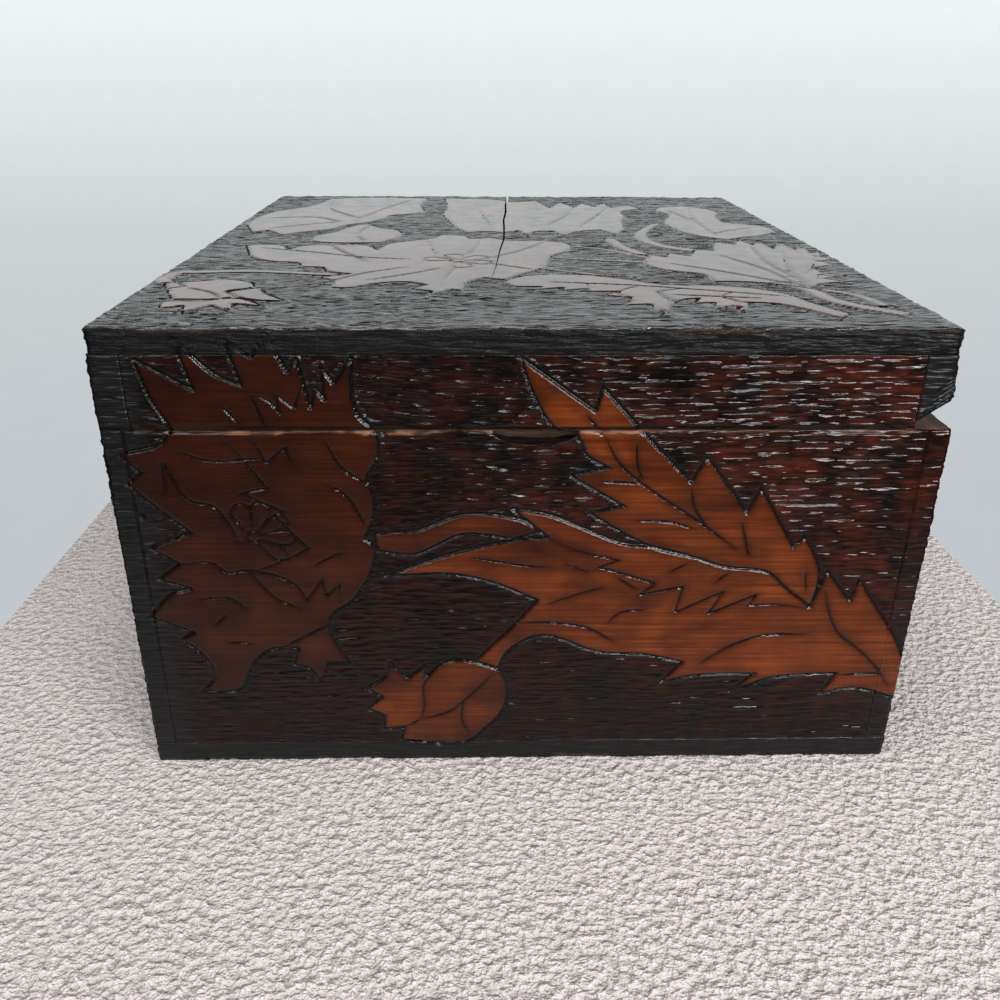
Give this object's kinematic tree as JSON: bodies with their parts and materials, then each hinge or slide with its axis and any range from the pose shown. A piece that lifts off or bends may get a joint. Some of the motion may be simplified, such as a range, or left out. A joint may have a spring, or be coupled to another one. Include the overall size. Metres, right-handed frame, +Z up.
{
  "type": "pyrography box",
  "caption": "Rectangular wooden keepsake box, carved and burnt with leaf ornament, with a flush rail-framed lid on brass butt hinges.",
  "frame": {"origin": "middle of the underside of the bottom board", "axes": "+Z up; the front faces -Y and the hinges are at +Y; +X is the box's right as seen from the front"},
  "size_m": [0.21, 0.2498, 0.1264],
  "materials": {
    "case_wood": "carved, burnt and varnished",
    "lid_wood": "carved, burnt and varnished",
    "hinge_brass": "aged",
    "brad_steel": "darkened"
  },
  "bodies": {
    "case": {"case_front_panel": "case_wood", "case_back_panel": "case_wood", "case_left_panel": "case_wood", "case_right_panel": "case_wood", "case_bottom_board": "case_wood", "case_corner_brads": "brad_steel", "bottom_board_brads": "brad_steel", "left_hinge_case_leaf": "hinge_brass", "right_hinge_case_leaf": "hinge_brass", "left_hinge_pin": "hinge_brass", "right_hinge_pin": "hinge_brass", "case_hinge_screws": "hinge_brass"},
    "lid": {"lid_top_board": "lid_wood", "lid_front_rail": "lid_wood", "lid_back_rail": "lid_wood", "lid_left_rail": "lid_wood", "lid_right_rail": "lid_wood", "lid_corner_brads": "brad_steel", "lid_top_brads": "brad_steel", "left_hinge_lid_leaf": "hinge_brass", "right_hinge_lid_leaf": "hinge_brass", "lid_hinge_screws": "hinge_brass"}
  },
  "joints": [
    {"name": "lid_hinge", "type": "hinge", "parent": "case", "child": "lid", "pos_m": [0, 0.12505, 0.101], "axis": [-1, 0, 0], "range_deg": [0, 180]}
  ]
}
